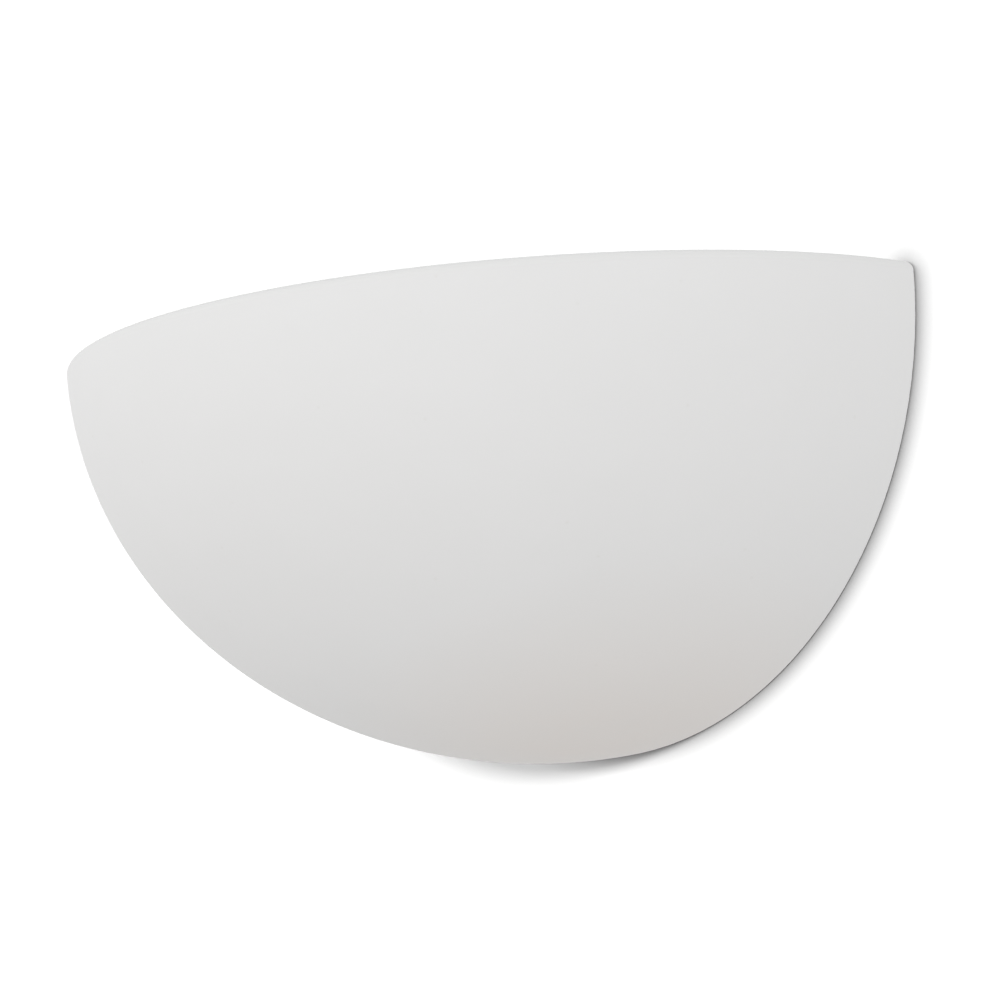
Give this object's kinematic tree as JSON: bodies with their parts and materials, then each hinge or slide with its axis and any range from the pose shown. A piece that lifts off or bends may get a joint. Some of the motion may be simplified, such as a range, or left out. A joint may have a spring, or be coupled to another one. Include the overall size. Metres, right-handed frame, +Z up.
{
  "type": "uplighter wall sconce",
  "caption": "Half-bowl ceramic uplighter wall light that hangs on the studs of a steel wall bracket and hides a level screw-in lamp in a porcelain lampholder.",
  "frame": {"origin": "on the wall plane, midway between the centres of the wall-screw slots, level with the hanging studs and the cable hole", "axes": "+X to the right seen from the room, along the wall; +Y into the wall; +Z up"},
  "size_m": [0.3, 0.1649, 0.14],
  "materials": {
    "bisque_ceramic": "unglazed, matt, off-white, fine-grained",
    "plated_sheet_steel": "bright zinc-plated pressed sheet",
    "black_rubber": "moulded, matt",
    "plated_fasteners": "bright zinc-plated",
    "vulcanised_fibre": "red vulcanised fibre",
    "turned_brass": "turned and knurled",
    "glazed_porcelain": "white, glazed",
    "contact_brass": "pressed, bare",
    "frosted_glass": "frosted inside, opal look",
    "lamp_cap_metal": "rolled thread, satin",
    "black_insulator": "black glass",
    "contact_solder": "dull solder",
    "terminal_plastic": "natural polyamide",
    "tinned_copper": "tin-plated copper, crimped",
    "brown_lead": "silicone-insulated, matt",
    "blue_lead": "silicone-insulated, matt",
    "green_yellow_lead": "silicone-insulated, green with a yellow stripe",
    "nylon_clip": "natural nylon"
  },
  "bodies": {
    "bracket": {"wall_bracket": "plated_sheet_steel", "cable_grommet": "black_rubber", "right_hanging_stud": "plated_fasteners", "left_hanging_stud": "plated_fasteners", "holder_arm": "plated_sheet_steel", "arm_screws": "plated_fasteners", "arm_nuts": "plated_fasteners", "lampholder_body": "glazed_porcelain", "lampholder_shell": "contact_brass", "centre_contact": "contact_brass", "contact_rivets": "contact_brass", "holder_screws": "plated_fasteners", "terminal_block": "terminal_plastic", "terminal_inserts": "contact_brass", "terminal_screws": "plated_fasteners", "block_screw": "plated_fasteners", "earth_stud": "plated_fasteners", "earth_ring_terminal": "tinned_copper", "earth_nut": "plated_fasteners", "live_lead": "brown_lead", "neutral_lead": "blue_lead", "earth_lead": "green_yellow_lead", "lead_clips": "nylon_clip", "clip_screws": "plated_fasteners"},
    "bowl": {"ceramic_bowl": "bisque_ceramic"},
    "right_washer": {"right_fibre_washer": "vulcanised_fibre"},
    "left_washer": {"left_fibre_washer": "vulcanised_fibre"},
    "right_nut": {"right_thumb_nut": "turned_brass"},
    "left_nut": {"left_thumb_nut": "turned_brass"},
    "lamp_tip": {"lamp_contact": "contact_solder"},
    "lamp": {"lamp_glass": "frosted_glass", "lamp_cap": "lamp_cap_metal", "lamp_insulator": "black_insulator"}
  },
  "joints": [
    {"name": "bowl_lift", "type": "slide", "parent": "bracket", "child": "bowl", "axis": [0, 0, 1], "range_m": [0, 0.014]},
    {"name": "right_washer_travel", "type": "slide", "parent": "bracket", "child": "right_washer", "axis": [0, -1, 0], "range_m": [0, 0.0021]},
    {"name": "right_nut_turn", "type": "hinge", "parent": "right_washer", "child": "right_nut", "pos_m": [0.11, -0.013, 0], "axis": [0, -1, 0], "range_deg": [0, 1080]},
    {"name": "left_washer_travel", "type": "slide", "parent": "bracket", "child": "left_washer", "axis": [0, -1, 0], "range_m": [0, 0.0021]},
    {"name": "left_nut_turn", "type": "hinge", "parent": "left_washer", "child": "left_nut", "pos_m": [-0.11, -0.013, 0], "axis": [0, -1, 0], "range_deg": [0, 1080]},
    {"name": "lamp_advance", "type": "slide", "parent": "bracket", "child": "lamp_tip", "axis": [1, 0, 0], "range_m": [0, 0.0181]},
    {"name": "lamp_turn", "type": "hinge", "parent": "lamp_tip", "child": "lamp", "pos_m": [-0.0181, -0.072, 0], "axis": [1, 0, 0], "range_deg": [0, 1800]}
  ],
  "couplings": [
    {"joint": "right_washer_travel", "follows": "right_nut_turn", "m_per_rad": 0.0001114},
    {"joint": "left_washer_travel", "follows": "left_nut_turn", "m_per_rad": 0.0001114},
    {"joint": "lamp_advance", "follows": "lamp_turn", "m_per_rad": 0.000576}
  ]
}
